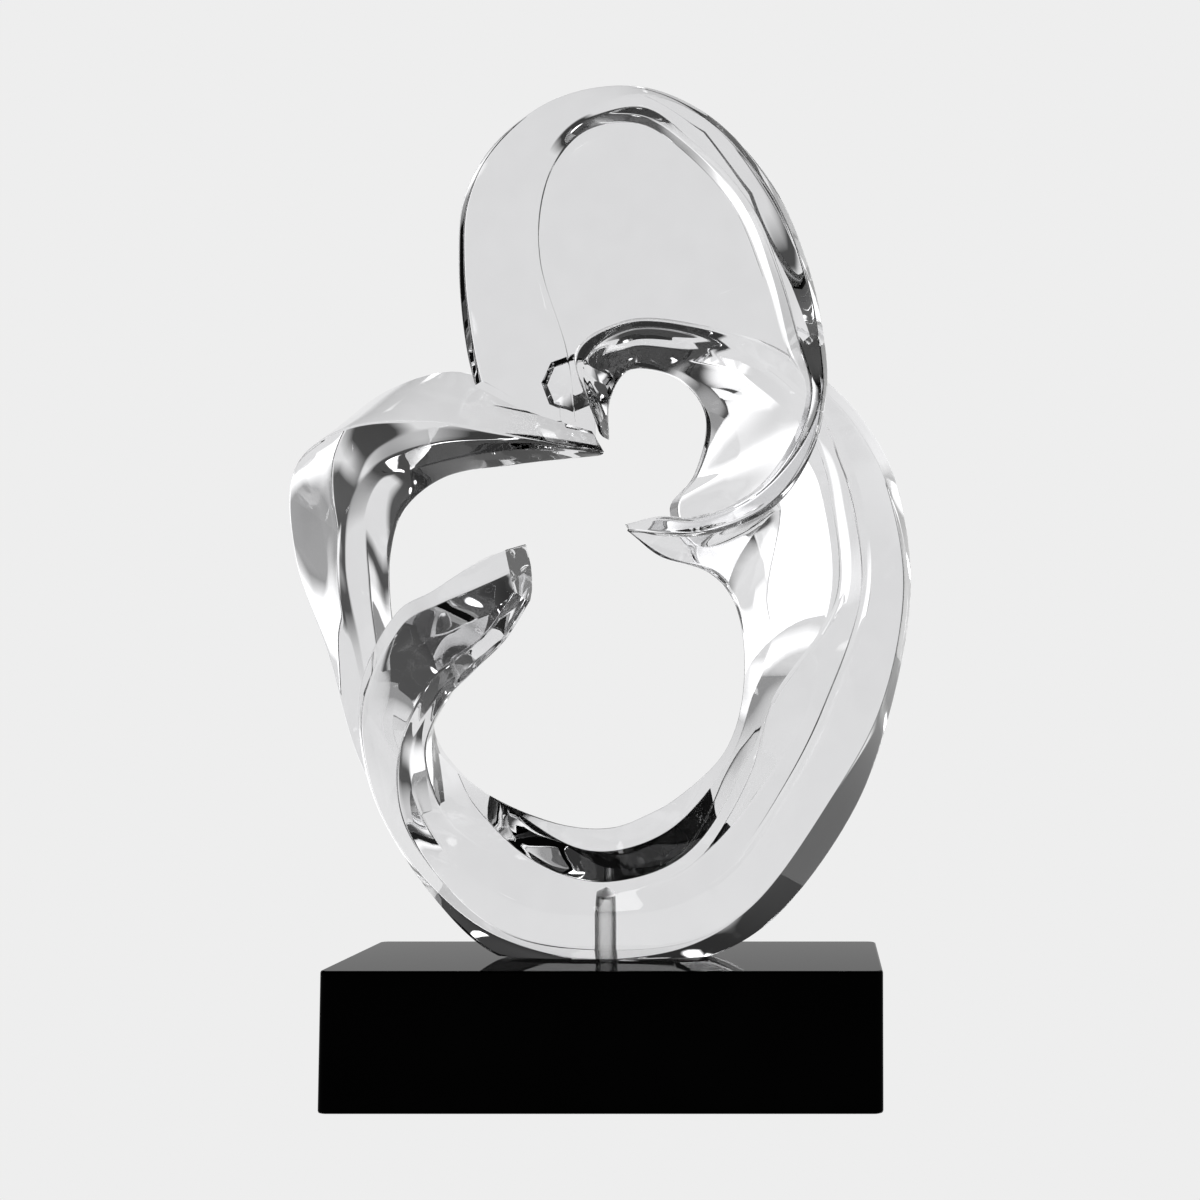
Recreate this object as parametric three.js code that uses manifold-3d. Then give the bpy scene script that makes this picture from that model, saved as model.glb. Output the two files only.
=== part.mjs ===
import * as THREE from 'three';
import { mergeVertices, toCreasedNormals } from 'three/addons/utils/BufferGeometryUtils.js';
import Module from 'manifold-3d';

// Free-standing clear resin loop on a black block, in millimetres with +Z up.
// The origin lies on the swivel axis, level with the undersides of the feet.

// Driving dimensions of the block and its feet
const BASE_WIDTH = 261;
const BASE_DEPTH = 110;
const BASE_HEIGHT = 65;
const BASE_OFFSET_X = 3.5;
const BASE_UPRIGHT_EDGE_RADIUS = 4.5;
const BASE_RIM_BEVEL = 1;
const FOOT_DIAMETER = 14;
const FOOT_HEIGHT = 1.5;
const FOOT_EDGE_BEVEL = 0.4;
const FOOT_INSET = 20;

// Driving dimensions of the swivel
const PIN_DIAMETER = 10;
const PIN_RISE = 24;
const PIN_SUNK = 30;
const PIN_TIP_BEVEL = 1;
const BUSH_WALL = 2.5;
const BUSH_FLOOR = 2;
const WASHER_DIAMETER = 26;
const WASHER_THICKNESS = 0.5;
const PIN_HOLE_CONE_HEIGHT = 3;

// Clearances between pieces
const SEAT_GAP = 0.3;
const SLIDING_GAP = 0.3;

// Driving dimensions of the loop
const LOOP_HEIGHT = 440;
const RIBBON_EDGE_RADIUS = 1.2;

// Levels stacked up from the feet
const BASE_BOTTOM = FOOT_HEIGHT + SEAT_GAP;
const BASE_TOP = BASE_BOTTOM + BASE_HEIGHT;
const WASHER_BOTTOM = BASE_TOP + SEAT_GAP;
const LOOP_BOTTOM = WASHER_BOTTOM + WASHER_THICKNESS + SEAT_GAP;

// Fits around the pin
const BUSH_BORE_DIAMETER = PIN_DIAMETER + 2 * SLIDING_GAP;
const BUSH_DIAMETER = BUSH_BORE_DIAMETER + 2 * BUSH_WALL;
const SOCKET_DIAMETER = BUSH_DIAMETER + 2 * SEAT_GAP;
const PIN_BOTTOM = BASE_TOP - PIN_SUNK;
const PIN_TOP = BASE_TOP + PIN_RISE;
const BUSH_BOTTOM = PIN_BOTTOM - SEAT_GAP - BUSH_FLOOR;
const SOCKET_BOTTOM = BUSH_BOTTOM - SEAT_GAP;
const PIN_HOLE_DIAMETER = PIN_DIAMETER + 2 * SLIDING_GAP;
const PIN_HOLE_SHOULDER = PIN_TOP + SEAT_GAP;

// Front drawing of the loop. A point is written across, down and deep: across and down in units of
// half a millimetre on the drawing sheet, deep in millimetres behind the upright plane of the pin.
// The loop is drawn as one eye sees it, so a point lies on its sight line, at its depth.
const SHEET_UNIT = 0.5;
const EYE_DISTANCE = 825;
const EYE_RIGHT_OF_PIN = 104.7;
const EYE_ABOVE_FOOT = 108.6;
const SIGHT_TILT = THREE.MathUtils.degToRad(3.7);
const SHEET_AXIS_ACROSS = 820;
const SHEET_AXIS_DOWN = 626.3;
const DRAWN_LOOP_HEIGHT = 440;
const LOOP_SCALE = LOOP_HEIGHT / DRAWN_LOOP_HEIGHT;
const X_AXIS = new THREE.Vector3(1, 0, 0);

// Main ribbon, from the tip of the left hook along the bottom, up the right side and over the arch.
// Each row is one cross-section: outer front edge, front bevel, front ridge, front crease,
// inner front edge, inner back edge, back knee, back ridge, outer back edge.
const MAIN_RIBBON_CORNERS = 9;
const MAIN_RIBBON = [
  [505, 550, -46, 514, 591, -50, 519, 595, -46, 524, 599, -42,
    530, 602, -38, 532, 590, -34, 532, 578, -30, 531, 566, -27, 526, 544, -27],
  [470, 567, -45, 488, 632, -52, 494, 638, -50, 500, 642, -48,
    506, 640, -46, 506, 632, -44, 500, 611, -33, 492, 588, -22, 480, 560, -22],
  [432, 591, -38, 455, 659, -50, 462, 668, -46, 470, 675, -42,
    474, 671, -38, 472, 658, -34, 464, 634, -20, 452, 610, -8, 439, 588, -8],
  [398, 611, -30, 428, 685, -48, 436, 696, -43, 444, 702, -37,
    450, 697, -28, 446, 680, -20, 436, 655, -6, 424, 632, 6, 404, 611, 4],
  [360, 688, -20, 400, 748, -44, 412, 752, -40, 426, 752, -34,
    433, 742, -14, 436, 735, -4, 424, 722, 6, 400, 708, 20, 368, 692, 8],
  [371, 792, -12, 403, 822, -40, 422, 816, -39, 445, 815, -32,
    484, 791, -4, 486, 794, 6, 474, 796, 10, 440, 810, 28, 384, 798, 4],
  [436, 901, -10, 462, 902, -36, 482, 882, -36, 500, 860, -30,
    547, 820, -3, 549, 824, 8, 534, 838, 10, 498, 868, 27, 449, 896, 4],
  [502, 958, -10, 518, 938, -34, 532, 907, -35, 548, 883, -29,
    588, 828, -2, 589, 832, 9, 578, 860, 10, 555, 898, 27, 508, 950, 8],
  [602, 968, -12, 602, 950, -33, 603, 914, -35, 604, 894, -29,
    618, 826, -2, 618, 831, 9, 614, 862, 10, 608, 906, 26, 602, 960, 14],
  [704, 958, -12, 693, 940, -33, 679, 903, -35, 664, 878, -29,
    646, 815, -2, 646, 820, 9, 656, 850, 10, 674, 892, 26, 698, 950, 19],
  [771, 921, -12, 752, 905, -33, 730, 870, -36, 706, 848, -29,
    676, 798, -1, 677, 803, 9, 694, 826, 11, 722, 862, 27, 766, 915, 20],
  [852, 814, -10, 840, 808, -30, 791, 782, -36, 753, 766, -28,
    725, 750, 0, 728, 753, 10, 748, 764, 12, 784, 784, 28, 843, 810, 22],
  [890, 712, -6, 881, 706, -26, 829, 705, -34, 772, 703, -26,
    743, 688, 2, 747, 690, 12, 775, 696, 15, 824, 704, 27, 883, 712, 24],
  [911, 585, 0, 904, 583, -18, 866, 590, -28, 840, 600, -20,
    734, 604, 6, 740, 603, 14, 780, 600, 20, 846, 592, 35, 902, 586, 30],
  [895, 478, 6, 886, 483, -8, 856, 493, -18, 837, 500, -11,
    682, 540, 10, 690, 538, 16, 750, 520, 23, 830, 498, 46, 885, 482, 38],
  [872, 432, 8, 864, 440, -3, 843, 455, -11, 826, 455, -5,
    669, 508, 10, 680, 505, 16, 730, 486, 26, 810, 455, 44, 863, 438, 37],
  [841, 394, 10, 837, 404, 0, 830, 424, -6, 808, 426, -2,
    693, 476, 6, 699, 472, 15, 740, 450, 24, 800, 418, 40, 835, 400, 35],
  [780, 349, 8, 776, 353, 1, 768, 367, -4, 748, 380, -8,
    705, 416, -6, 708, 413, 8, 722, 400, 18, 750, 376, 34, 778, 353, 30],
  [705, 326, -14, 704, 328, -18, 700, 336, -18, 694, 345, -15,
    675, 378, 2, 677, 376, 9, 684, 364, 16, 693, 348, 25, 704, 329, 34],
  [628, 320, -16, 628, 322, -20, 627, 330, -20, 627, 338, -17,
    629, 371, 0, 631, 368, 6, 630, 355, 12, 630, 340, 20, 630, 323, 29],
  [576, 350, -15, 577, 352, -19, 583, 361, -19, 590, 371, -16,
    610, 400, -4, 611, 398, 2, 605, 387, 8, 594, 372, 15, 580, 353, 24],
  [598, 428, -12, 598, 430, -15, 600, 434, -17, 603, 437, -17,
    609, 440, -12, 609, 438, -6, 606, 436, -1, 603, 433, 6, 600, 430, 12],
];

// Upper left ribbon, from the point above the eye round the shoulder and down into the main ribbon.
// Corners: top back edge, top front edge, outer crease, middle crease, inner front edge,
// inner back edge, back knee.
const SHOULDER_RIBBON_CORNERS = 7;
const SHOULDER_RIBBON = [
  [590, 428, 8, 604, 452, -31, 603, 454, -30, 601, 455, -28,
    598, 456, -24, 596, 454, -16, 594, 442, -4],
  [524, 403, 14, 515, 436, -31, 512, 442, -30, 513, 450, -26,
    515, 465, -12, 516, 462, -2, 519, 436, 6],
  [456, 371, 20, 425, 421, -31, 425, 446, -28, 432, 464, -21,
    444, 478, -8, 443, 472, 2, 447, 426, 12],
  [371, 400, 18, 340, 430, -31, 368, 472, -18, 384, 478, -14,
    404, 511, -6, 402, 502, 6, 382, 440, 11],
  [334, 446, 12, 295, 467, -31, 343, 515, -12, 367, 513, -9,
    391, 553, -6, 390, 542, 8, 352, 492, 10],
  [332, 548, 14, 294, 553, -26, 338, 585, -12, 369, 578, -10,
    391, 604, -4, 390, 598, 10, 348, 570, 12],
  [347, 652, 18, 328, 655, -8, 352, 652, -10, 378, 648, -8,
    400, 665, 4, 399, 660, 14, 364, 652, 16],
  [360, 750, 20, 356, 752, -4, 374, 747, -6, 392, 742, -4,
    412, 745, 6, 408, 745, 16, 380, 747, 18],
  [400, 822, 16, 392, 826, -8, 400, 822, -10, 410, 818, -8,
    425, 816, 0, 420, 818, 12, 408, 820, 14],
];

// Rim of the sail, from its left foot over the top and down into the right hook.
// Corners: outer edge, front lip, lip bevel, inner front edge, inner back edge, outer back edge.
const SAIL_RIM_CORNERS = 6;
const SAIL_RIM = [
  [484, 420, 8, 566, 422, 2, 571, 422, 2, 576, 422, 2, 576, 422, 14, 494, 420, 13],
  [466, 350, 10, 555, 350, 2, 561, 350, 2, 567, 350, 2, 567, 350, 18, 477, 350, 18],
  [458, 262, 10, 529, 262, 1, 535, 262, 2, 541, 262, 2, 541, 262, 18, 468, 262, 19],
  [463, 200, 10, 530, 200, 0, 536, 202, 1, 542, 204, 2, 542, 204, 18, 473, 201, 19],
  [490, 148, 9, 545, 153, 0, 551, 157, 1, 557, 161, 2, 557, 161, 18, 499, 152, 20],
  [556, 98, 6, 580, 117, -3, 584, 123, -2, 588, 130, 2, 590, 132, 18, 562, 106, 21],
  [638, 86, 2, 640, 94, -8, 643, 107, -12, 640, 124, 2, 642, 126, 18, 640, 96, 16],
  [709, 115, 0, 705, 119, -8, 692, 140, -14, 684, 152, 2, 684, 154, 18, 700, 124, 13],
  [773, 184, -2, 768, 188, -9, 748, 203, -14, 737, 211, 1, 735, 213, 18, 760, 194, 10],
  [808, 264, -8, 803, 266, -16, 779, 274, -22, 766, 278, -2, 763, 280, 18, 795, 268, 8],
  [824, 335, -18, 819, 338, -26, 799, 343, -34, 787, 345, -12, 784, 346, 11, 810, 339, 0],
  [827, 392, -30, 823, 393, -37, 812, 391, -43, 806, 391, -30, 808, 392, -18, 820, 392, -18],
  [813, 452, -35, 809, 449, -41, 798, 440, -45, 793, 438, -33, 797, 441, -24, 806, 447, -24],
  [774, 508, -38, 770, 502, -43, 760, 489, -45, 754, 490, -35, 758, 493, -26, 767, 502, -27],
  [710, 535, -38, 708, 530, -43, 703, 517, -45, 697, 516, -37, 699, 519, -30, 706, 528, -30],
  [668, 537, -37, 666, 533, -42, 660, 516, -43, 655, 517, -37, 657, 519, -32, 664, 531, -32],
  [631, 532, -37, 630, 530, -39, 628, 525, -40, 625, 524, -38, 626, 526, -36, 629, 530, -36],
];

// Web under the right hook, from the right side of the loop to the hook's tip.
// Corners: upper front edge, middle front, lower front edge, lower back edge, upper back edge.
const HOOK_WEB_CORNERS = 5;
const HOOK_WEB = [
  [800, 690, -22, 775, 690, -12, 752, 690, -2, 756, 690, 8, 796, 690, 0],
  [846, 600, -19, 788, 610, -15, 741, 614, -2, 746, 614, 12, 838, 600, -6],
  [838, 455, -13, 775, 520, -27, 711, 575, -18, 718, 570, -4, 828, 460, 0],
  [725, 520, -41, 690, 535, -38, 658, 556, -34, 664, 551, -24, 725, 520, -27],
  [629, 527, -40, 628, 529, -40, 627, 531, -39, 628, 530, -38, 629, 528, -38],
];

// Flat pane inside the sail, outlined across and down, with its front and back depth
const SAIL_PANE_FRONT = 2.5;
const SAIL_PANE_BACK = 17.5;
const SAIL_PANE = [
  [556, 160], [537, 200], [535, 262], [550, 330], [562, 400], [564, 436], [596, 440], [596, 400],
  [606, 358], [640, 340], [690, 345], [780, 368], [797, 350], [783, 300], [745, 205], [700, 145],
  [640, 108], [585, 124],
];

// Faceted knob on the back of the pane where the arch springs: its place, and its radius and depth
const KNOB_PLACE = [574, 384];
const KNOB_SIDES = 8;
const KNOB_PROFILE = [[0, 15], [16, 15], [13, 24], [5, 29], [0, 29]];

// Fineness of the curved surfaces
const STEPS_BETWEEN_SECTIONS = 4;
const STEPS_ROUND_CORNER = 2;
const ROUND_SEGMENTS = 48;
const UPRIGHT_EDGE_SEGMENTS = 6;
const EDGE_BEVEL_SEGMENTS = 2;
const LARGEST_EDGE_SHARE = 1 / 3;
const SMALLEST_EDGE = 0.02;
const WELD_DISTANCE = 1e-4;
const CREASE_ANGLE = THREE.MathUtils.degToRad(28);

const manifold = await Module();
manifold.setup();

function solidFromTriangles(positions, triangles) {
  const mesh = new manifold.Mesh({
    numProp: 3,
    vertProperties: Float32Array.from(positions),
    triVerts: Uint32Array.from(triangles),
  });
  mesh.merge();
  return new manifold.Manifold(mesh);
}

function solidFromGeometry(geometry) {
  geometry.deleteAttribute('normal');
  geometry.deleteAttribute('uv');
  const merged = mergeVertices(geometry, WELD_DISTANCE);
  return solidFromTriangles(merged.attributes.position.array, merged.index.array);
}

function geometryFromSolid(solid) {
  const mesh = solid.getMesh();
  const geometry = new THREE.BufferGeometry();
  geometry.setAttribute('position', new THREE.BufferAttribute(new Float32Array(mesh.vertProperties), 3));
  geometry.setIndex(new THREE.BufferAttribute(new Uint32Array(mesh.triVerts), 1));
  return geometry;
}

function turned(profile, centre = [0, 0]) {
  const points = profile.map(([radius, height]) => new THREE.Vector2(radius, height));
  const geometry = new THREE.LatheGeometry(points, ROUND_SEGMENTS);
  geometry.rotateX(Math.PI / 2);
  geometry.translate(centre[0], centre[1], 0);
  return geometry;
}

function rodProfile(radius, bottom, top, bevel) {
  return [[0, bottom], [radius - bevel, bottom], [radius, bottom + bevel],
    [radius, top - bevel], [radius - bevel, top], [0, top]];
}

// Loop sections

function placed(across, down, deep) {
  const right = (across - SHEET_AXIS_ACROSS) * SHEET_UNIT;
  const up = (SHEET_AXIS_DOWN - down) * SHEET_UNIT;
  const sight = new THREE.Vector3(right, EYE_DISTANCE, up).applyAxisAngle(X_AXIS, SIGHT_TILT);
  sight.multiplyScalar((EYE_DISTANCE + deep) / sight.y);
  const eye = new THREE.Vector3(EYE_RIGHT_OF_PIN, -EYE_DISTANCE, EYE_ABOVE_FOOT);
  return eye.add(sight).multiplyScalar(LOOP_SCALE);
}

function cornerRails(rows, corners) {
  const rails = [];
  for (let corner = 0; corner < corners; corner += 1) {
    const points = rows.map((row) => placed(...row.slice(3 * corner, 3 * corner + 3)));
    rails.push(new THREE.CatmullRomCurve3(points, false, 'centripetal'));
  }
  return rails;
}

function roundedSection(points) {
  const rounded = [];
  points.forEach((point, index) => {
    const before = points[(index + points.length - 1) % points.length];
    const after = points[(index + 1) % points.length];
    const reach = (other) => Math.min(RIBBON_EDGE_RADIUS / other.distanceTo(point), LARGEST_EDGE_SHARE);
    const arc = new THREE.QuadraticBezierCurve3(
      point.clone().lerp(before, reach(before)), point, point.clone().lerp(after, reach(after)));
    for (let step = 0; step < STEPS_ROUND_CORNER; step += 1) {
      rounded.push(arc.getPoint(step / (STEPS_ROUND_CORNER - 1)));
    }
  });
  return rounded;
}

function loftedSolid(rows, corners) {
  const rails = cornerRails(rows, corners);
  const sectionCount = (rows.length - 1) * STEPS_BETWEEN_SECTIONS + 1;
  const ringSize = corners * STEPS_ROUND_CORNER;
  const positions = [];
  for (let section = 0; section < sectionCount; section += 1) {
    const along = section / (sectionCount - 1);
    const ring = roundedSection(rails.map((rail) => rail.getPoint(along)));
    ring.forEach((point) => positions.push(...point.toArray()));
  }
  const triangles = [];
  for (let section = 0; section + 1 < sectionCount; section += 1) {
    for (let point = 0; point < ringSize; point += 1) {
      const here = section * ringSize + point;
      const next = section * ringSize + (point + 1) % ringSize;
      triangles.push(here, next, here + ringSize);
      triangles.push(next, next + ringSize, here + ringSize);
    }
  }
  const lastRing = (sectionCount - 1) * ringSize;
  for (let point = 1; point + 1 < ringSize; point += 1) {
    triangles.push(0, point + 1, point);
    triangles.push(lastRing, lastRing + point, lastRing + point + 1);
  }
  return solidFromTriangles(positions, outward(positions, triangles));
}

function outward(positions, triangles) {
  const corner = (index) => new THREE.Vector3().fromArray(positions, 3 * index);
  let volume = 0;
  for (let start = 0; start < triangles.length; start += 3) {
    const [a, b, c] = triangles.slice(start, start + 3).map(corner);
    volume += a.dot(b.cross(c));
  }
  return volume < 0 ? triangles.toReversed() : triangles;
}

function paneSolid() {
  const outline = SAIL_PANE.map(([across, down]) => new THREE.Vector2(across, -down));
  const faces = THREE.ShapeUtils.triangulateShape(outline, []);
  const positions = [];
  for (const deep of [SAIL_PANE_FRONT, SAIL_PANE_BACK]) {
    SAIL_PANE.forEach(([across, down]) => positions.push(...placed(across, down, deep).toArray()));
  }
  const count = SAIL_PANE.length;
  const triangles = [];
  for (const [a, b, c] of faces) {
    triangles.push(a, b, c);
    triangles.push(a + count, c + count, b + count);
  }
  for (let here = 0; here < count; here += 1) {
    const next = (here + 1) % count;
    triangles.push(here, here + count, next);
    triangles.push(next, here + count, next + count);
  }
  return solidFromTriangles(positions, outward(positions, triangles));
}

function paneKnob() {
  const centre = placed(...KNOB_PLACE, KNOB_PROFILE[0][1]);
  const points = KNOB_PROFILE.map(([radius, deep]) => new THREE.Vector2(radius, deep));
  const geometry = new THREE.LatheGeometry(points, KNOB_SIDES);
  geometry.scale(LOOP_SCALE, LOOP_SCALE, LOOP_SCALE);
  geometry.translate(centre.x, 0, centre.z);
  return solidFromGeometry(geometry);
}

function clearLoop() {
  let loop = loftedSolid(MAIN_RIBBON, MAIN_RIBBON_CORNERS);
  loop = loop.add(loftedSolid(SHOULDER_RIBBON, SHOULDER_RIBBON_CORNERS));
  loop = loop.add(loftedSolid(SAIL_RIM, SAIL_RIM_CORNERS));
  loop = loop.add(loftedSolid(HOOK_WEB, HOOK_WEB_CORNERS));
  loop = loop.add(paneSolid());
  loop = loop.add(paneKnob());
  loop = loop.translate([0, 0, LOOP_BOTTOM]);
  loop = loop.subtract(belowFoot());
  loop = loop.subtract(pinHole());
  return loop.simplify(SMALLEST_EDGE);
}

function belowFoot() {
  const side = 2 * LOOP_HEIGHT;
  const block = new THREE.BoxGeometry(side, side, side);
  block.translate(0, 0, LOOP_BOTTOM - side / 2);
  return solidFromGeometry(block);
}

function pinHole() {
  const radius = PIN_HOLE_DIAMETER / 2;
  const start = LOOP_BOTTOM - SEAT_GAP;
  const profile = [[0, start], [radius, start], [radius, PIN_HOLE_SHOULDER],
    [0, PIN_HOLE_SHOULDER + PIN_HOLE_CONE_HEIGHT]];
  return solidFromGeometry(turned(profile));
}

// Block, feet and swivel

function baseOutline() {
  const radius = BASE_UPRIGHT_EDGE_RADIUS - BASE_RIM_BEVEL;
  const x = BASE_WIDTH / 2 - BASE_UPRIGHT_EDGE_RADIUS;
  const y = BASE_DEPTH / 2 - BASE_UPRIGHT_EDGE_RADIUS;
  const outline = new THREE.Shape();
  [[x, -y], [x, y], [-x, y], [-x, -y]].forEach(([centreX, centreY], corner) => {
    outline.absarc(centreX, centreY, radius, (corner - 1) * Math.PI / 2, corner * Math.PI / 2);
  });
  return outline;
}

function baseBlock() {
  const block = new THREE.ExtrudeGeometry(baseOutline(), {
    depth: BASE_HEIGHT - 2 * BASE_RIM_BEVEL,
    bevelSize: BASE_RIM_BEVEL,
    bevelThickness: BASE_RIM_BEVEL,
    bevelSegments: EDGE_BEVEL_SEGMENTS,
    curveSegments: UPRIGHT_EDGE_SEGMENTS,
  });
  block.translate(BASE_OFFSET_X, 0, BASE_BOTTOM + BASE_RIM_BEVEL);
  const radius = SOCKET_DIAMETER / 2;
  const socketTop = BASE_TOP + SEAT_GAP;
  const socket = turned([[0, SOCKET_BOTTOM], [radius, SOCKET_BOTTOM], [radius, socketTop], [0, socketTop]]);
  return solidFromGeometry(block).subtract(solidFromGeometry(socket));
}

function pinBush() {
  const outer = BUSH_DIAMETER / 2;
  const inner = BUSH_BORE_DIAMETER / 2;
  return solidFromGeometry(turned([
    [0, BUSH_BOTTOM], [outer, BUSH_BOTTOM], [outer, BASE_TOP],
    [inner, BASE_TOP], [inner, BUSH_BOTTOM + BUSH_FLOOR], [0, BUSH_BOTTOM + BUSH_FLOOR],
  ]));
}

function swivelPin() {
  return solidFromGeometry(turned(rodProfile(PIN_DIAMETER / 2, PIN_BOTTOM, PIN_TOP, PIN_TIP_BEVEL)));
}

function slipWasher() {
  const outer = WASHER_DIAMETER / 2;
  const inner = PIN_HOLE_DIAMETER / 2;
  const top = WASHER_BOTTOM + WASHER_THICKNESS;
  return solidFromGeometry(turned([
    [inner, WASHER_BOTTOM], [outer, WASHER_BOTTOM], [outer, top], [inner, top], [inner, WASHER_BOTTOM],
  ]));
}

function rubberFoot(centre) {
  return solidFromGeometry(turned(rodProfile(FOOT_DIAMETER / 2, 0, FOOT_HEIGHT, FOOT_EDGE_BEVEL), centre));
}

// Materials

const materials = {
  clearResin: { color: 0xe9eef0, roughness: 0.04, metalness: 0, transparent: true, opacity: 0.35 },
  blackAcrylic: { color: 0x050505, roughness: 0.06, metalness: 0 },
  whiteNylon: { color: 0xe4e4e0, roughness: 0.55, metalness: 0 },
  greyNylon: { color: 0xb9b9b4, roughness: 0.6, metalness: 0 },
  clearFilm: { color: 0xd5dadb, roughness: 0.3, metalness: 0 },
  blackRubber: { color: 0x1c1c1c, roughness: 0.9, metalness: 0 },
};

const sculpture = new THREE.Group();
sculpture.name = 'resin_loop_sculpture';

function addPiece(name, solid, material) {
  const geometry = toCreasedNormals(geometryFromSolid(solid), CREASE_ANGLE);
  const piece = new THREE.Mesh(geometry, new THREE.MeshStandardMaterial(material));
  piece.name = name;
  sculpture.add(piece);
}

addPiece('clear_loop', clearLoop(), materials.clearResin);
addPiece('base_block', baseBlock(), materials.blackAcrylic);
addPiece('pin_bush', pinBush(), materials.greyNylon);
addPiece('swivel_pin', swivelPin(), materials.whiteNylon);
addPiece('slip_washer', slipWasher(), materials.clearFilm);

for (const [depthName, depthSide] of [['front', -1], ['back', 1]]) {
  for (const [widthName, widthSide] of [['left', -1], ['right', 1]]) {
    const x = BASE_OFFSET_X + widthSide * (BASE_WIDTH / 2 - FOOT_INSET);
    const y = depthSide * (BASE_DEPTH / 2 - FOOT_INSET);
    addPiece(`foot_${depthName}_${widthName}`, rubberFoot([x, y]), materials.blackRubber);
  }
}

export default sculpture;
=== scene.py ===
import math

import bmesh
import bpy
import numpy as np
from mathutils import Matrix, Vector


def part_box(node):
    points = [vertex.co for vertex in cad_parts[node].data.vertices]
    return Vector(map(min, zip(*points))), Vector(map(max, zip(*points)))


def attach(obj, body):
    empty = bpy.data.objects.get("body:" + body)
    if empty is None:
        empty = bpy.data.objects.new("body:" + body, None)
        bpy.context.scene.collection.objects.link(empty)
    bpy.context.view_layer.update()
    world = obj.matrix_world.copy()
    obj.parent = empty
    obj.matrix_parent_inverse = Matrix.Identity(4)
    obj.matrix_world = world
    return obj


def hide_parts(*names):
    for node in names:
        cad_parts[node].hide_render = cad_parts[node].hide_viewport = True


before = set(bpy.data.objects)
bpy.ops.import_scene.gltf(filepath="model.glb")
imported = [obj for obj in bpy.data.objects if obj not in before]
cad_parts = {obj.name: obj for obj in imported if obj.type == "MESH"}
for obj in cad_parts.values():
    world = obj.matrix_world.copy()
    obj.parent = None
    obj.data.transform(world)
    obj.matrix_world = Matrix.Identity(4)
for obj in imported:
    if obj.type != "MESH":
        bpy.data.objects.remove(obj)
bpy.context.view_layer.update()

MM = 0.001

# Drawing of the loop: across and down on the drawing sheet in half millimetres, deep in millimetres
# behind the upright plane of the pin. A point lies on its sight line, at its depth. The drawing is the
# part's, apart from a narrower web, four corners of the main ribbon's lower bevels and the grooves.
SHEET_UNIT = 0.5
EYE_DISTANCE = 825
EYE_RIGHT_OF_PIN = 104.7
EYE_ABOVE_FOOT = 108.6
SIGHT_TILT = math.radians(3.7)
SHEET_AXIS_ACROSS = 820
SHEET_AXIS_DOWN = 626.3
EDGE_RADIUS = 1.2
LARGEST_EDGE_SHARE = 1 / 3

# Each row is one section of a piece, and each three numbers in it are one corner

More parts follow.
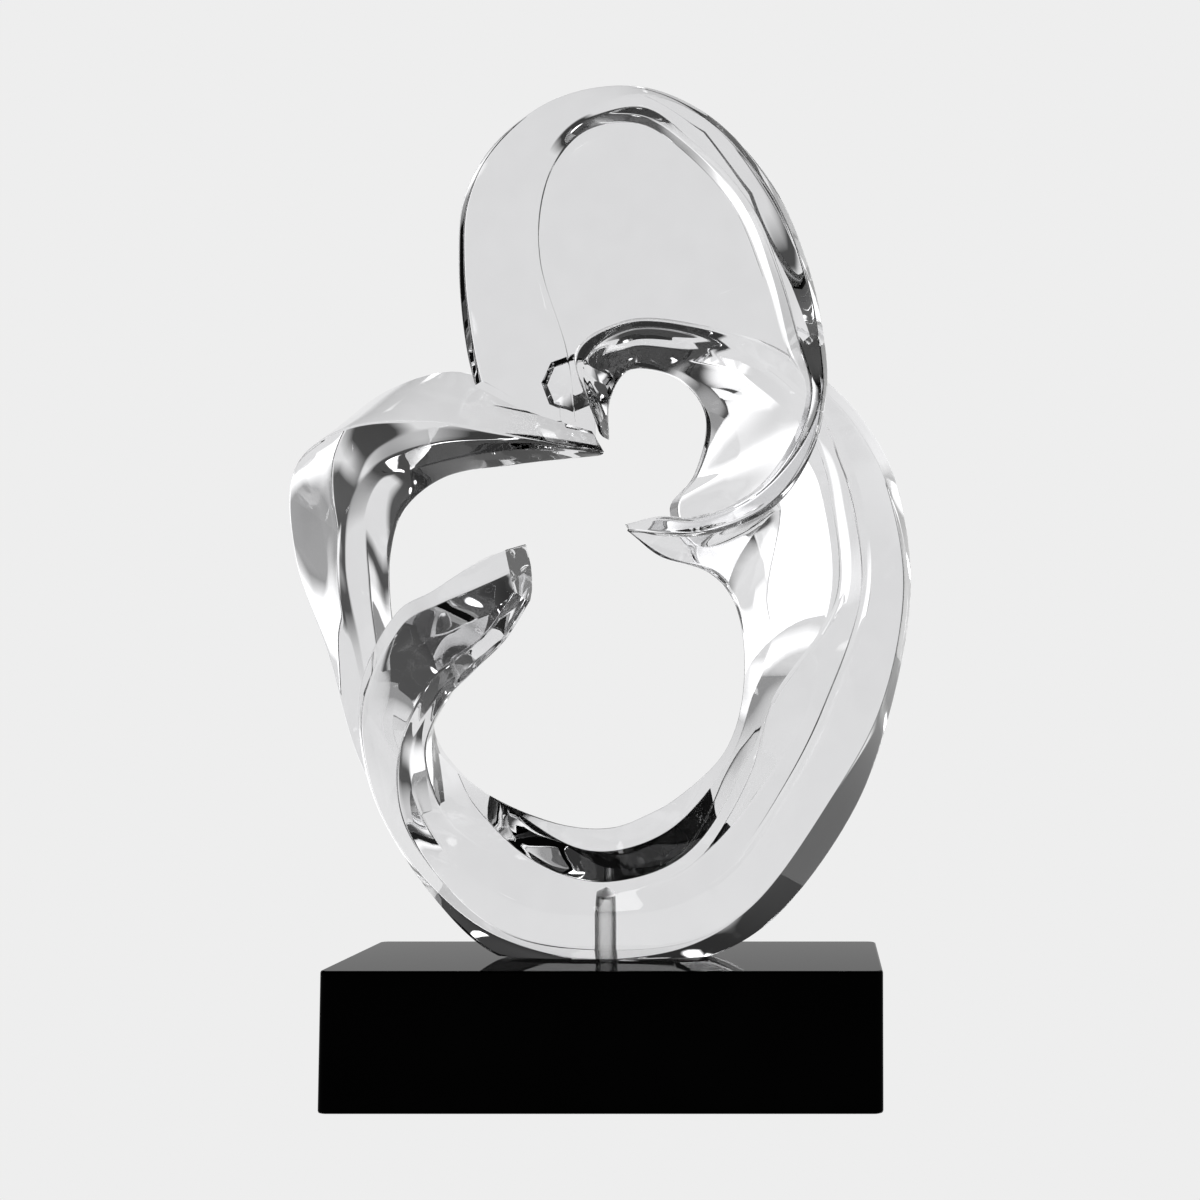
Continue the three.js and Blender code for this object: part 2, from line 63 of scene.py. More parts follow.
MAIN_RIBBON_CORNERS = 9
MAIN_RIBBON = [
    [505, 550, -46, 514, 591, -50, 519, 595, -46, 524, 599, -42, 530, 602, -38,
     532, 590, -34, 532, 578, -30, 531, 566, -27, 526, 544, -27],
    [470, 567, -45, 488, 632, -52, 494, 638, -50, 500, 642, -48, 506, 640, -46,
     506, 632, -44, 500, 611, -33, 492, 588, -22, 480, 560, -22],
    [432, 591, -38, 455, 659, -50, 462, 668, -46, 470, 675, -42, 474, 671, -38,
     472, 658, -34, 464, 634, -20, 452, 610, -8, 439, 588, -8],
    [398, 611, -30, 428, 685, -48, 436, 696, -43, 444, 702, -37, 450, 697, -28,
     446, 680, -20, 436, 655, -6, 424, 632, 6, 404, 611, 4],
    [360, 688, -20, 400, 748, -44, 412, 752, -40, 426, 752, -34, 433, 742, -14,
     436, 735, -4, 424, 722, 6, 400, 708, 20, 364, 690, 0],
    [371, 792, -12, 403, 822, -40, 422, 816, -39, 445, 815, -32, 484, 791, -4,
     486, 794, 6, 474, 796, 10, 440, 810, 28, 378, 796, -4],
    [436, 901, -10, 462, 902, -36, 482, 882, -36, 500, 860, -30, 547, 820, -3,
     549, 824, 8, 534, 838, 10, 498, 868, 27, 457, 893, 15],
    [502, 958, -10, 518, 938, -34, 532, 907, -35, 548, 883, -29, 588, 828, -2,
     589, 832, 9, 578, 860, 10, 555, 898, 27, 508, 950, 8],
    [602, 968, -12, 602, 950, -33, 603, 914, -35, 604, 894, -29, 618, 826, -2,
     618, 831, 9, 614, 862, 10, 608, 906, 26, 602, 960, 14],
    [704, 958, -12, 693, 940, -33, 679, 903, -35, 664, 878, -29, 646, 815, -2,
     646, 820, 9, 656, 850, 10, 674, 892, 26, 698, 950, 19],
    [771, 921, -12, 752, 905, -33, 730, 870, -36, 706, 848, -29, 676, 798, -1,
     677, 803, 9, 694, 826, 11, 722, 862, 27, 766, 915, 20],
    [852, 814, -10, 828, 802, -31, 791, 782, -36, 753, 766, -28, 725, 750, 0,
     728, 753, 10, 748, 764, 12, 784, 784, 28, 843, 810, 22],
    [890, 712, -6, 881, 706, -26, 829, 705, -34, 772, 703, -26, 743, 688, 2,
     747, 690, 12, 775, 696, 15, 824, 704, 27, 883, 712, 24],
    [911, 585, 0, 904, 583, -18, 866, 590, -28, 840, 600, -20, 734, 604, 6,
     740, 603, 14, 780, 600, 20, 846, 592, 35, 902, 586, 30],
    [895, 478, 6, 886, 483, -8, 856, 493, -18, 837, 500, -11, 682, 540, 10,
     690, 538, 16, 750, 520, 23, 830, 498, 46, 885, 482, 38],
    [872, 432, 8, 864, 440, -3, 843, 455, -11, 826, 455, -5, 669, 508, 10,
     680, 505, 16, 730, 486, 26, 810, 455, 44, 863, 438, 37],
    [841, 394, 10, 837, 404, 0, 830, 424, -6, 808, 426, -2, 693, 476, 6,
     699, 472, 15, 740, 450, 24, 800, 418, 40, 835, 400, 35],
    [780, 349, 8, 776, 353, 1, 768, 367, -4, 748, 380, -8, 705, 416, -6,
     708, 413, 8, 722, 400, 18, 750, 376, 34, 778, 353, 30],
    [705, 326, -14, 704, 328, -18, 700, 336, -18, 694, 345, -15, 675, 378, 2,
     677, 376, 9, 684, 364, 16, 693, 348, 25, 704, 329, 34],
    [628, 320, -16, 628, 322, -20, 627, 330, -20, 627, 338, -17, 629, 371, 0,
     631, 368, 6, 630, 355, 12, 630, 340, 20, 630, 323, 29],
    [576, 350, -15, 577, 352, -19, 583, 361, -19, 590, 371, -16, 610, 400, -4,
     611, 398, 2, 605, 387, 8, 594, 372, 15, 580, 353, 24],
    [598, 428, -12, 598, 430, -15, 600, 434, -17, 603, 437, -17, 609, 440, -12,
     609, 438, -6, 606, 436, -1, 603, 433, 6, 600, 430, 12],
]

SHOULDER_RIBBON_CORNERS = 7
SHOULDER_RIBBON = [
    [590, 428, 8, 604, 452, -31, 603, 454, -30, 601, 455, -28, 598, 456, -24, 596, 454, -16, 594, 442, -4],
    [524, 403, 14, 515, 436, -31, 512, 442, -30, 513, 450, -26, 515, 465, -12, 516, 462, -2, 519, 436, 6],
    [456, 371, 20, 425, 421, -31, 425, 446, -28, 432, 464, -21, 444, 478, -8, 443, 472, 2, 447, 426, 12],
    [371, 400, 18, 340, 430, -31, 368, 472, -18, 384, 478, -14, 404, 511, -6, 402, 502, 6, 382, 440, 11],
    [334, 446, 12, 295, 467, -31, 343, 515, -12, 367, 513, -9, 391, 553, -6, 390, 542, 8, 352, 492, 10],
    [332, 548, 14, 294, 553, -26, 338, 585, -12, 369, 578, -10, 391, 604, -4, 390, 598, 10, 348, 570, 12],
    [347, 652, 18, 328, 655, -8, 352, 652, -10, 378, 648, -8, 400, 665, 4, 399, 660, 14, 364, 652, 16],
    [360, 750, 20, 356, 752, -4, 374, 747, -6, 392, 742, -4, 412, 745, 6, 408, 745, 16, 380, 747, 18],
    [400, 822, 16, 392, 826, -8, 400, 822, -10, 410, 818, -8, 425, 816, 0, 420, 818, 12, 408, 820, 14],
]

SAIL_RIM_CORNERS = 6
SAIL_RIM = [
    [484, 420, 8, 566, 422, 2, 571, 422, 2, 576, 422, 2, 576, 422, 14, 494, 420, 13],
    [466, 350, 10, 555, 350, 2, 561, 350, 2, 567, 350, 2, 567, 350, 18, 477, 350, 18],
    [458, 262, 10, 529, 262, 1, 535, 262, 2, 541, 262, 2, 541, 262, 18, 468, 262, 19],
    [463, 200, 10, 530, 200, 0, 536, 202, 1, 542, 204, 2, 542, 204, 18, 473, 201, 19],
    [490, 148, 9, 545, 153, 0, 551, 157, 1, 557, 161, 2, 557, 161, 18, 499, 152, 20],
    [556, 98, 6, 580, 117, -3, 584, 123, -2, 588, 130, 2, 590, 132, 18, 562, 106, 21],
    [638, 86, 2, 640, 94, -8, 643, 107, -12, 640, 124, 2, 642, 126, 18, 640, 96, 16],
    [709, 115, 0, 705, 119, -8, 692, 140, -14, 684, 152, 2, 684, 154, 18, 700, 124, 13],
    [773, 184, -2, 768, 188, -9, 748, 203, -14, 737, 211, 1, 735, 213, 18, 760, 194, 10],
    [808, 264, -8, 803, 266, -16, 779, 274, -22, 766, 278, -2, 763, 280, 18, 795, 268, 8],
    [824, 335, -18, 819, 338, -26, 799, 343, -34, 787, 345, -12, 784, 346, 11, 810, 339, 0],
    [827, 392, -30, 823, 393, -37, 812, 391, -43, 806, 391, -30, 808, 392, -18, 820, 392, -18],
    [813, 452, -35, 809, 449, -41, 798, 440, -45, 793, 438, -33, 797, 441, -24, 806, 447, -24],
    [774, 508, -38, 770, 502, -43, 760, 489, -45, 754, 490, -35, 758, 493, -26, 767, 502, -27],
    [710, 535, -38, 708, 530, -43, 703, 517, -45, 697, 516, -37, 699, 519, -30, 706, 528, -30],
    [668, 537, -37, 666, 533, -42, 660, 516, -43, 655, 517, -37, 657, 519, -32, 664, 531, -32],
    [631, 532, -37, 630, 530, -39, 628, 525, -40, 625, 524, -38, 626, 526, -36, 629, 530, -36],
]

HOOK_WEB_CORNERS = 5
HOOK_WEB = [
    [800, 690, -22, 775, 690, -12, 752, 690, -2, 756, 690, 8, 796, 690, 0],
    [768, 606, -4, 755, 610, 0, 741, 614, 3, 746, 614, 12, 766, 606, 8],
    [778, 500, -28, 748, 536, -18, 711, 575, -10, 718, 570, 2, 776, 504, 2],
    [725, 520, -41, 690, 535, -36, 658, 556, -28, 664, 551, -20, 725, 520, -27],
    [629, 527, -40, 628, 529, -40, 627, 531, -39, 628, 530, -38, 629, 528, -38],
]

SAIL_PANE_FRONT = 2.5
SAIL_PANE_BACK = 17.5
SAIL_PANE = [
    [556, 160], [537, 200], [535, 262], [550, 330], [562, 400], [564, 436], [596, 440], [596, 400],
    [606, 358], [640, 340], [690, 345], [780, 368], [797, 350], [783, 300], [745, 205], [700, 145],
    [640, 108], [585, 124],
]

# Faceted knob on the back of the pane where the arch springs: its place, and its radius and depth
KNOB_PLACE = [574, 384]
KNOB_SIDES = 8
KNOB_PROFILE = [[0, 15], [16, 15], [13, 24], [5, 29], [0, 29]]

# Shallow polished grooves along two corners of the main ribbon: the first and the last row they reach,
# and in millimetres how far they reach from the corner and how far inwards they are drawn
GROOVES = {2: (9.6, 17), 3: (12, 16)}
GROOVE_REACH = 2.8
GROOVE_DEPTH = 8

# The drilled hole in millimetres: its play round the pin and above it, the height of its domed end, how
# far it is cut below the foot, and how far from the pin's side and top its frosted faces are looked for
PIN_PLAY = 0.3
HOLE_DOME = 3
HOLE_OVERRUN = 10
HOLE_SIDES = 96
FROST_REACH = 0.6
FROST_HEIGHT = 4

# Metres, larger than the object: the block that cuts the loop flat at its foot
FOOT_CUT = 1

# Fineness of the loop's surfaces
STEPS_BETWEEN_SECTIONS = 16
STEPS_ROUND_EDGE = 7
STEPS_ACROSS_FACE = 4
SMOOTH_ANGLE = math.radians(30)

# Index of refraction of the resin, and a low one that keeps the acrylic's reflections faint
RESIN_IOR = 1.49
ACRYLIC_IOR = 1.055
# The part of a noise's values over which a finish runs from its first value to its second
NOISE_SPAN = (0.3, 0.7)
BUMP_STRENGTH = 0.2

# The studio: tones are linear light, and 0.855 shows as the photograph's pale grey
PALE = 0.855
DIM = 0.09
CEILING = 0.035
# Azimuths where the pale wall behind the object ends on the left and on the right, and fades out
PALE_LEFT = (-32, -27)
PALE_RIGHT = (15, 23)
# Sines of the elevations between which the pale wall and the dim walls fade into the ceiling
PALE_TOP = (0.48, 0.57)
DIM_TOP = (0.25, 0.6)

# Soft round lights on the studio's walls: azimuth from the back wall to the right, elevation, the radius
# that is fully lit and the radius where it has faded out, all in degrees, and the tone
WALL_LIGHTS = {
    "right_wall": (72, 6, 8, 24, 0.35),
    "back_left": (-45, -2, 4, 11, 1.2),
    "high_right": (14, 38, 5, 12, 0.9),
    "right_front": (99, 42, 9, 21, 1.2),
}
# Small bright lamps: azimuth and elevation of each, then the radii and the tone of them all
LAMPS = [(-62, 16), (-82, 27), (-24, 44), (-44, 33), (-8, 52), (34, 60), (132, 36), (-130, 30), (172, 22)]
LAMP_LIGHT = (1.2, 3, 4)
# Large soft panel behind the object on its right: the azimuths and elevations where it fades in and out
PANEL_AZIMUTHS = (15, 21, 48, 62)
PANEL_ELEVATIONS = (-12, -2, 36, 56)
PANEL_TONE = 1.5

# Round floor in metres. Beside the camera's view and in front of the object it fades to a dimmer tone:
# how fast the view widens backwards, and the distances between which the floor fades
FLOOR_REACH = 9.0
FLOOR_SIDES = 96
FLOOR_DIM = 0.35
VIEW_WIDENING = 0.55
FLOOR_BESIDE = (0.42, 1.2)
FLOOR_IN_FRONT = (-0.8, -0.25)
# It glows more below the soft panel: azimuths and distances where that fades in and out
FLOOR_GLOW = 0.8
FLOOR_GLOW_LEFT = (32, 37)
FLOOR_GLOW_RIGHT = (55, 70)
FLOOR_GLOW_NEAR = (1.1, 1.5)

# Small soft box above the front on the left: its place, aim and side in metres, and its power in watts
BOX_PLACE = (-0.6, -1.2, 2.0)
BOX_AIM = (0, 0, 0.3)
BOX_SIDE = 0.5
BOX_POWER = 3

# The camera: width of its sensor in millimetres, side of the photograph in pixels, and the nearest and
# farthest distance it sees in metres
SENSOR = 36
PHOTO_SIDE = 1200
CLIP = (0.05, 50)


def placed(across, down, deep):
    right = (across - SHEET_AXIS_ACROSS) * SHEET_UNIT
    up = (SHEET_AXIS_DOWN - down) * SHEET_UNIT
    forward = EYE_DISTANCE * math.cos(SIGHT_TILT) - up * math.sin(SIGHT_TILT)
    rise = EYE_DISTANCE * math.sin(SIGHT_TILT) + up * math.cos(SIGHT_TILT)
    reach = (EYE_DISTANCE + deep) / forward
    return np.array([EYE_RIGHT_OF_PIN + right * reach, deep, EYE_ABOVE_FOOT + rise * reach])


def curve_through(points, steps):
    """Centripetal curve through points, with that many steps between each two."""
    padded = np.vstack([2 * points[0] - points[1], points, 2 * points[-1] - points[-2]])
    gaps = np.linalg.norm(np.diff(padded, axis=0), axis=1) ** 0.5
    weight = (np.arange(steps) / steps)[:, None]
    stretches = []
    for i in range(1, len(padded) - 2):
        before, start, end, after = padded[i - 1:i + 3]
        gap_before, gap, gap_after = gaps[i - 1:i + 2]
        leave = (start - before) / gap_before - (end - before) / (gap_before + gap) + (end - start) / gap
        arrive = (end - start) / gap - (after - start) / (gap + gap_after) + (after - end) / gap_after
        leave, arrive = leave * gap, arrive * gap
        square = 3 * (end - start) - 2 * leave - arrive
        cube = 2 * (start - end) + leave + arrive
        stretches.append(start + leave * weight + square * weight ** 2 + cube * weight ** 3)
    return np.vstack([*stretches, points[-1:]])


def rounded_section(corners, grooves):
    """Section with each corner turned into an arc or a groove, and each face between them split evenly."""
    ring = []
    count = len(corners)
    middle = sum(corners) / count
    starts, ends, turns = [], [], []
    for i in range(count):
        before, point, after = corners[i - 1], corners[i], corners[(i + 1) % count]
        groove = grooves.get(i, 0)
        reach = EDGE_RADIUS + (GROOVE_REACH - EDGE_RADIUS) * groove
        back = min(reach / np.linalg.norm(before - point), LARGEST_EDGE_SHARE)
        ahead = min(reach / np.linalg.norm(after - point), LARGEST_EDGE_SHARE)
        starts.append(point + (before - point) * back)
        ends.append(point + (after - point) * ahead)
        inwards = (middle - point) / np.linalg.norm(middle - point)
        turns.append(point + inwards * GROOVE_DEPTH * groove)
    for i in range(count):
        for t in np.linspace(0, 1, STEPS_ROUND_EDGE):
            ring.append((1 - t) ** 2 * starts[i] + 2 * t * (1 - t) * turns[i] + t ** 2 * ends[i])
        following = starts[(i + 1) % count]
        for t in np.arange(1, STEPS_ACROSS_FACE) / STEPS_ACROSS_FACE:
            ring.append(ends[i] + (following - ends[i]) * t)
    return ring


def mesh_object(name, points, faces):
    mesh = bpy.data.meshes.new(name)
    mesh.from_pydata([tuple(p) for p in points], [], faces)
    tidy = bmesh.new()
    tidy.from_mesh(mesh)
    bmesh.ops.recalc_face_normals(tidy, faces=tidy.faces)
    tidy.to_mesh(mesh)
    tidy.free()
    item = bpy.data.objects.new(name, mesh)
    bpy.context.scene.collection.objects.link(item)
    return item


def groove_strength(ring, first, last):
    """How far a groove between two rows of a ribbon is cut at this ring, from 0 to 1."""
    along = (ring / STEPS_BETWEEN_SECTIONS - first) / (last - first)
    return math.sin(math.pi * min(max(along, 0), 1)) ** 0.5


def lofted(name, rows, corners, grooves=None):
    table = np.array(rows, float).reshape(len(rows), corners, 3)
    rails = [curve_through(np.array([placed(*p) for p in table[:, c]]), STEPS_BETWEEN_SECTIONS)
             for c in range(corners)]
    rings = []
    for i in range(len(rails[0])):
        cut = {corner: groove_strength(i, *span) for corner, span in (grooves or {}).items()}
        rings.append(rounded_section([rail[i] for rail in rails], cut))
    size = len(rings[0])
    points = [p for ring in rings for p in ring]
    faces = []
    for i in range(len(rings) - 1):
        for j in range(size):
            here, following = i * size + j, i * size + (j + 1) % size
            faces.append((here, following, following + size, here + size))
    faces.append(tuple(range(size)))
    faces.append(tuple(range((len(rings) - 1) * size, len(rings) * size)))
    return mesh_object(name, np.array(points) * MM, faces)


def sail_pane():
    count = len(SAIL_PANE)
    points = [placed(*p, deep) for deep in (SAIL_PANE_FRONT, SAIL_PANE_BACK) for p in SAIL_PANE]
    faces = [tuple(range(count)), tuple(range(count, 2 * count))]
    for i in range(count):
        faces.append((i, (i + 1) % count, (i + 1) % count + count, i + count))
    return mesh_object("sail_pane", np.array(points) * MM, faces)


def pane_knob():
    axis = placed(*KNOB_PLACE, KNOB_PROFILE[0][1])
    profile = [(radius * MM, depth * MM) for radius, depth in KNOB_PROFILE]
    knob = turned_piece("pane_knob", profile, KNOB_SIDES)
    knob.data.transform(Matrix.Rotation(math.radians(-90), 4, "X"))
    knob.data.transform(Matrix.Translation((axis[0] * MM, 0, axis[2] * MM)))
    return knob


def combine(base, other, operation):
    """Boolean of two closed pieces, applied to the first; the second is deleted."""
    modifier = base.modifiers.new("combine", "BOOLEAN")
    modifier.operation = operation
    modifier.solver = "MANIFOLD"
    modifier.object = other
    bpy.context.view_layer.update()
    result = bpy.data.meshes.new_from_object(base.evaluated_get(bpy.context.evaluated_depsgraph_get()))
    base.modifiers.clear()
    base.data = result
    bpy.data.objects.remove(other)


def box_piece(name, low, high):
    x0, y0, z0 = low
    x1, y1, z1 = high
    points = [(x, y, z) for z in (z0, z1) for x, y in ((x0, y0), (x1, y0), (x1, y1), (x0, y1))]
    faces = [(3, 2, 1, 0), (4, 5, 6, 7), (0, 1, 5, 4), (1, 2, 6, 5), (2, 3, 7, 6), (3, 0, 4, 7)]
    return mesh_object(name, points, faces)


def turned_piece(name, profile, segments):
    """Closed turned piece; the profile starts and ends on the axis."""
    points, faces = [(0, 0, profile[0][1])], []
    rings = profile[1:-1]
    for radius, height in rings:
        for i in range(segments):
            angle = 2 * math.pi * i / segments
            points.append((radius * math.cos(angle), radius * math.sin(angle), height))
    points.append((0, 0, profile[-1][1]))
    for i in range(segments):
        j = (i + 1) % segments
        faces.append((0, 1 + j, 1 + i))
        for ring in range(len(rings) - 1):
            a, b = 1 + ring * segments, 1 + (ring + 1) * segments
            faces.append((a + i, a + j, b + j, b + i))
        last = 1 + (len(rings) - 1) * segments
        faces.append((last + i, last + j, len(points) - 1))
    return mesh_object(name, points, faces)


def build_loop():
    loop = lofted("resin_loop", MAIN_RIBBON, MAIN_RIBBON_CORNERS, GROOVES)
    combine(loop, lofted("shoulder", SHOULDER_RIBBON, SHOULDER_RIBBON_CORNERS), "UNION")
    combine(loop, lofted("sail_rim", SAIL_RIM, SAIL_RIM_CORNERS), "UNION")
    combine(loop, lofted("hook_web", HOOK_WEB, HOOK_WEB_CORNERS), "UNION")
    combine(loop, sail_pane(), "UNION")
    combine(loop, pane_knob(), "UNION")
    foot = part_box("clear_loop")[0].z
    loop.data.transform(Matrix.Translation((0, 0, foot)))
    lowest, highest = (-FOOT_CUT, -FOOT_CUT, foot - FOOT_CUT), (FOOT_CUT, FOOT_CUT, foot)
    combine(loop, box_piece("below_foot", lowest, highest), "DIFFERENCE")
    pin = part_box("swivel_pin")[1]
    radius, shoulder = pin.x + PIN_PLAY * MM, pin.z + PIN_PLAY * MM
    below = foot - HOLE_OVERRUN * MM
    profile = [(0, below), (radius, below), (radius, shoulder), (0, shoulder + HOLE_DOME * MM)]
    combine(loop, turned_piece("hole", profile, HOLE_SIDES), "DIFFERENCE")
    return loop


loop = build_loop()
loop.data.shade_smooth()
loop.data.set_sharp_from_angle(angle=SMOOTH_ANGLE)
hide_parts("clear_loop")
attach(loop, "loop")


def new_material(name):
    """Node material with its Principled shader, and the node tree for what is added."""
    material = bpy.data.materials.new(name)
    material.use_nodes = True
    return material, material.node_tree, material.node_tree.nodes["Principled BSDF"]


def add_node(tree, kind, settings=None, links=None):
    """Node with its settings (by property or by input name) and its inputs linked from other sockets."""
    node = tree.nodes.new(kind)
    for name, value in (settings or {}).items():
        if name in node.inputs:
            node.inputs[name].default_value = value
        else:
            setattr(node, name, value)
    for name, socket in (links or {}).items():
        tree.links.new(socket, node.inputs[name])
    return node


def noise(tree, scale, detail=2.0):
    """Noise of the object's own coordinates, in metres."""
    place = add_node(tree, "ShaderNodeTexCoord")
    return add_node(tree, "ShaderNodeTexNoise", {"Scale": scale, "Detail": detail},
                    {"Vector": place.outputs["Object"]})


def ranged(tree, socket, low, high, source=NOISE_SPAN):
    """Value that runs from low to high as the socket runs over the source range."""
    node = add_node(tree, "ShaderNodeMapRange", None, {"Value": socket})
    for name, value in zip(("From Min", "From Max", "To Min", "To Max"), (*source, low, high)):
        node.inputs[name].default_value = value
    return node.outputs["Result"]


def two_tones(tree, socket, dark, light):
    """Colour between two greys or tints, by a noise value."""
    ramp = add_node(tree, "ShaderNodeValToRGB", None, {"Fac": socket})
    for stop, place, colour in zip(ramp.color_ramp.elements, NOISE_SPAN, (dark, light)):
        stop.position = place
        stop.color = (*colour, 1)
    return ramp.outputs["Color"]


def graded(tree, principled, noise_node, dark, light, roughness):
    """Colour and roughness of a finish, each between two values by the noise."""
    tree.links.new(two_tones(tree, noise_node.outputs["Fac"], dark, light), principled.inputs["Base Color"])
    tree.links.new(ranged(tree, noise_node.outputs["Fac"], *roughness), principled.inputs["Roughness"])


def resin(name, dark, light, roughness, scale, detail=2.0):
    """Clear resin, polished or left as the drill cut it."""
    material, tree, principled = new_material(name)
    principled.inputs["Transmission Weight"].default_value = 1.0
    principled.inputs["IOR"].default_value = RESIN_IOR
    graded(tree, principled, noise(tree, scale, detail), dark, light, roughness)
    return material


def black_acrylic():
    material, tree, principled = new_material("black_acrylic")
    principled.inputs["IOR"].default_value = ACRYLIC_IOR
    graded(tree, principled, noise(tree, scale=25), dark=(0.0002, 0.0002, 0.0002),
           light=(0.0006, 0.0006, 0.0006), roughness=(0.01, 0.03))
    return material


def plastic(name, dark, light, roughness, grain, bump, transmission=0.0):
    """Moulded or turned plastic, or rubber, with a fine grain; bump is its height in metres."""
    material, tree, principled = new_material(name)
    principled.inputs["Transmission Weight"].default_value = transmission
    speckle = noise(tree, grain, detail=3)
    graded(tree, principled, speckle, dark, light, roughness)
    relief = add_node(tree, "ShaderNodeBump", {"Strength": BUMP_STRENGTH, "Distance": bump},
                      {"Height": speckle.outputs["Fac"]})
    tree.links.new(relief.outputs["Normal"], principled.inputs["Normal"])
    return material


def finish_nodes():
    """Materials of the pieces that keep their solids from the frame."""
    nylon = plastic("white_nylon", dark=(0.95, 0.95, 0.94), light=(1, 1, 1), roughness=(0.2, 0.3),
                    grain=700, bump=0.00002, transmission=1.0)
    bush = plastic("grey_nylon", dark=(0.2, 0.2, 0.21), light=(0.27, 0.27, 0.28), roughness=(0.4, 0.55),
                   grain=700, bump=0.0001)
    film = plastic("clear_film", dark=(0.95, 0.95, 0.95), light=(1, 1, 1), roughness=(0.02, 0.06),
                   grain=200, bump=0.00002, transmission=1.0)
    rubber = plastic("black_rubber", dark=(0.012, 0.012, 0.012), light=(0.022, 0.022, 0.022),
                     roughness=(0.6, 0.8), grain=900, bump=0.0001)
    finishes = {"base_block": black_acrylic(), "swivel_pin": nylon, "pin_bush": bush, "slip_washer": film}
    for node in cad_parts:
        if node.startswith("foot_"):
            finishes[node] = rubber
    for node, material in finishes.items():
        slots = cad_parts[node].data.materials
        slots.clear()
        slots.append(material)


def finish_loop():
    """Polished resin, and frosted resin on the wall and the end of the drilled hole."""
    loop.data.materials.clear()
    loop.data.materials.append(resin("clear_resin", dark=(0.86, 0.86, 0.87), light=(0.89, 0.89, 0.9),
                                     roughness=(0.0, 0.012), scale=60))
    loop.data.materials.append(resin("frosted_resin", dark=(0.88, 0.88, 0.88), light=(1, 1, 1),
                                     roughness=(0.4, 0.5), scale=900, detail=4))
    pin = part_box("swivel_pin")[1]
    hole_reach, hole_top = pin.x + FROST_REACH * MM, pin.z + FROST_HEIGHT * MM
    for face in loop.data.polygons:
        at = face.center
        if at.z < hole_top and 0 < math.hypot(at.x, at.y) < hole_reach:
            face.material_index = 1


finish_loop()
finish_nodes()


def combined(tree, operation, first, second):
    node = add_node(tree, "ShaderNodeMath", {"operation": operation})
    tree.links.new(first, node.inputs[0])
    tree.links.new(second, node.inputs[1])
    return node.outputs["Value"]


def in_radians(angles):
    return [math.radians(angle) for angle in angles]


def pale_floor():
    """Round floor that glows evenly where the camera looks, and fades towards the front of the studio."""
    turns = [2 * math.pi * i / FLOOR_SIDES for i in range(FLOOR_SIDES)]
    rim = [(FLOOR_REACH * math.cos(turn), FLOOR_REACH * math.sin(turn), 0) for turn in turns]
    floor = mesh_object("floor", rim, [tuple(range(FLOOR_SIDES))])
    material = bpy.data.materials.new("pale_floor")
    material.use_nodes = True
    tree = material.node_tree
    tree.nodes.clear()
    place = add_node(tree, "ShaderNodeTexCoord")
    parts = add_node(tree, "ShaderNodeSeparateXYZ", None, {"Vector": place.outputs["Object"]})
    side = add_node(tree, "ShaderNodeMath", {"operation": "ABSOLUTE"})
    tree.links.new(parts.outputs["X"], side.inputs[0])
    spread = add_node(tree, "ShaderNodeMath", {"operation": "MULTIPLY_ADD"})
    tree.links.new(parts.outputs["Y"], spread.inputs[0])
    spread.inputs[1].default_value = -VIEW_WIDENING
    tree.links.new(side.outputs["Value"], spread.inputs[2])
    within = ranged(tree, spread.outputs["Value"], 1, 0, FLOOR_BESIDE)
    ahead = ranged(tree, parts.outputs["Y"], 0, 1, FLOOR_IN_FRONT)
    tone = ranged(tree, combined(tree, "MULTIPLY", within, ahead), FLOOR_DIM, PALE, (0, 1))
    azimuth = combined(tree, "ARCTAN2", parts.outputs["X"], parts.outputs["Y"])
    distance = add_node(tree, "ShaderNodeVectorMath", {"operation": "LENGTH"})
    tree.links.new(place.outputs["Object"], distance.inputs[0])
    before_panel = combined(tree, "MULTIPLY",
                            ranged(tree, azimuth, 0, 1, in_radians(FLOOR_GLOW_LEFT)),
                            ranged(tree, azimuth, 1, 0, in_radians(FLOOR_GLOW_RIGHT)))
    beyond = ranged(tree, distance.outputs["Value"], 0, FLOOR_GLOW, FLOOR_GLOW_NEAR)
    tone = combined(tree, "ADD", tone, combined(tree, "MULTIPLY", before_panel, beyond))
    light = add_node(tree, "ShaderNodeEmission", None, {"Strength": tone})
    out = add_node(tree, "ShaderNodeOutputMaterial", None, {"Surface": light.outputs["Emission"]})
    floor.data.materials.append(material)


def wall_light(tree, direction, azimuth, elevation, inner, outer, tone):
    """Round patch of light that fades smoothly towards its rim."""
    azimuth, elevation = math.radians(azimuth), math.radians(elevation)
    aim = (math.sin(azimuth) * math.cos(elevation), math.cos(azimuth) * math.cos(elevation),
           math.sin(elevation))
    along = add_node(tree, "ShaderNodeVectorMath", {"operation": "DOT_PRODUCT"})
    tree.links.new(direction, along.inputs[0])
    along.inputs[1].default_value = aim
    patch = add_node(tree, "ShaderNodeMapRange", {"interpolation_type": "SMOOTHSTEP"},
                     {"Value": along.outputs["Value"]})
    patch.inputs["From Min"].default_value = math.cos(math.radians(outer))
    patch.inputs["From Max"].default_value = math.cos(math.radians(inner))
    patch.inputs["To Max"].default_value = tone
    return patch.outputs["Result"]


def soft_panel(tree, azimuth, elevation):
    """Light with a soft rim, given by where it fades in and out across and upwards."""
    across, upwards = in_radians(PANEL_AZIMUTHS), in_radians(PANEL_ELEVATIONS)
    left = ranged(tree, azimuth, 0, 1, across[:2])
    right = ranged(tree, azimuth, 1, 0, across[2:])
    bottom = ranged(tree, elevation, 0, 1, upwards[:2])
    top = ranged(tree, elevation, PANEL_TONE, 0, upwards[2:])
    return combined(tree, "MULTIPLY", combined(tree, "MULTIPLY", left, right),
                    combined(tree, "MULTIPLY", bottom, top))


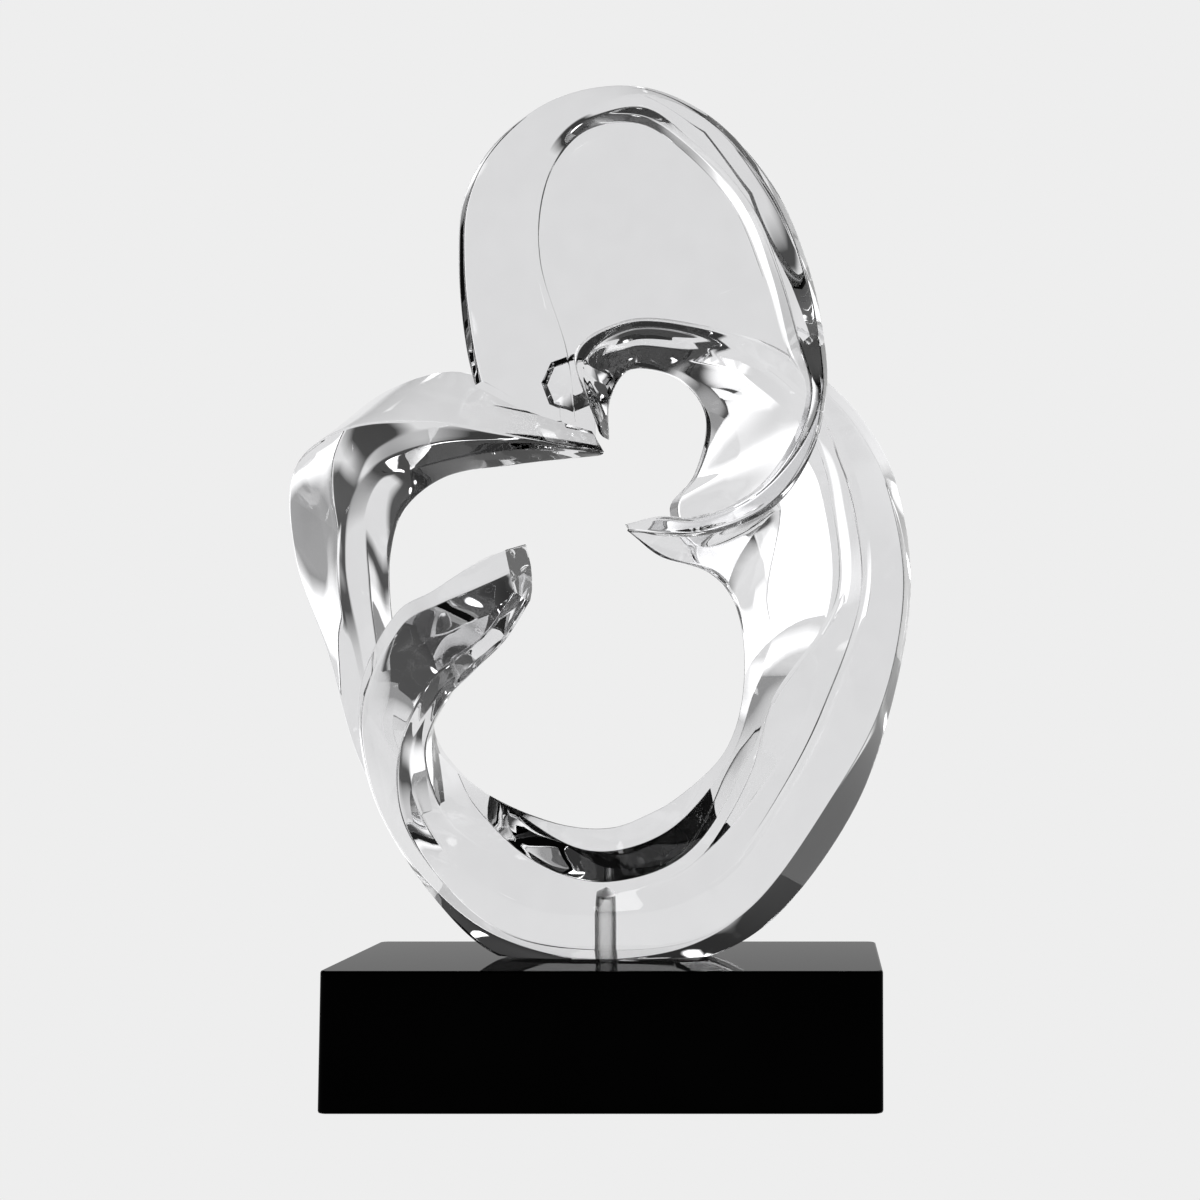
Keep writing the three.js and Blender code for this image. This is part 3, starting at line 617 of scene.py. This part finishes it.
def studio_walls():
    """World light: a pale wall behind the object, dim walls at the sides and front, a dark ceiling."""
    world = bpy.data.worlds.new("studio")
    bpy.context.scene.world = world
    world.use_nodes = True
    tree = world.node_tree
    place = add_node(tree, "ShaderNodeTexCoord")
    direction = place.outputs["Generated"]
    parts = add_node(tree, "ShaderNodeSeparateXYZ", None, {"Vector": direction})
    azimuth = combined(tree, "ARCTAN2", parts.outputs["X"], parts.outputs["Y"])
    from_left = ranged(tree, azimuth, 0, 1, in_radians(PALE_LEFT))
    to_right = ranged(tree, azimuth, 1, 0, in_radians(PALE_RIGHT))
    below_top = ranged(tree, parts.outputs["Z"], 1, 0, PALE_TOP)
    pale = combined(tree, "MULTIPLY", combined(tree, "MULTIPLY", from_left, to_right), below_top)
    wall = ranged(tree, parts.outputs["Z"], DIM, CEILING, DIM_TOP)
    tone = add_node(tree, "ShaderNodeMix", {"data_type": "FLOAT"})
    tree.links.new(pale, tone.inputs["Factor"])
    tree.links.new(wall, tone.inputs["A"])
    tone.inputs["B"].default_value = PALE
    total = tone.outputs["Result"]
    elevation = add_node(tree, "ShaderNodeMath", {"operation": "ARCSINE"})
    tree.links.new(parts.outputs["Z"], elevation.inputs[0])
    total = combined(tree, "ADD", total, soft_panel(tree, azimuth, elevation.outputs["Value"]))
    for light in [*WALL_LIGHTS.values(), *(lamp + LAMP_LIGHT for lamp in LAMPS)]:
        total = combined(tree, "ADD", total, wall_light(tree, direction, *light))
    tree.links.new(total, tree.nodes["Background"].inputs["Strength"])
    tree.nodes["Background"].inputs["Color"].default_value = (1, 1, 1, 1)


def soft_box():
    """Area light that faces the middle of the loop."""
    light = bpy.data.lights.new("box_above", "AREA")
    light.shape = "RECTANGLE"
    light.size, light.size_y = BOX_SIDE, BOX_SIDE
    light.energy = BOX_POWER
    item = bpy.data.objects.new("box_above", light)
    item.location = BOX_PLACE
    item.rotation_euler = (Vector(BOX_AIM) - Vector(BOX_PLACE)).to_track_quat("-Z", "Y").to_euler()
    bpy.context.scene.collection.objects.link(item)


def photo_camera():
    """Camera at the eye of the drawing, tilted up by the same angle as the drawing's sheet."""
    camera = bpy.data.cameras.new("camera")
    camera.sensor_width = SENSOR
    camera.lens = EYE_DISTANCE / SHEET_UNIT / PHOTO_SIDE * SENSOR
    camera.shift_x = (PHOTO_SIDE / 2 - SHEET_AXIS_ACROSS) / PHOTO_SIDE
    camera.shift_y = (SHEET_AXIS_DOWN - PHOTO_SIDE / 2) / PHOTO_SIDE
    camera.clip_start, camera.clip_end = CLIP
    eye = bpy.data.objects.new("camera", camera)
    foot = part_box("clear_loop")[0].z
    eye.location = (EYE_RIGHT_OF_PIN * MM, -EYE_DISTANCE * MM, foot + EYE_ABOVE_FOOT * MM)
    eye.rotation_euler = (math.radians(90) + SIGHT_TILT, 0, 0)
    bpy.context.scene.collection.objects.link(eye)
    bpy.context.scene.camera = eye


pale_floor()
studio_walls()
soft_box()
photo_camera()
bpy.context.scene.view_settings.view_transform = "Standard"
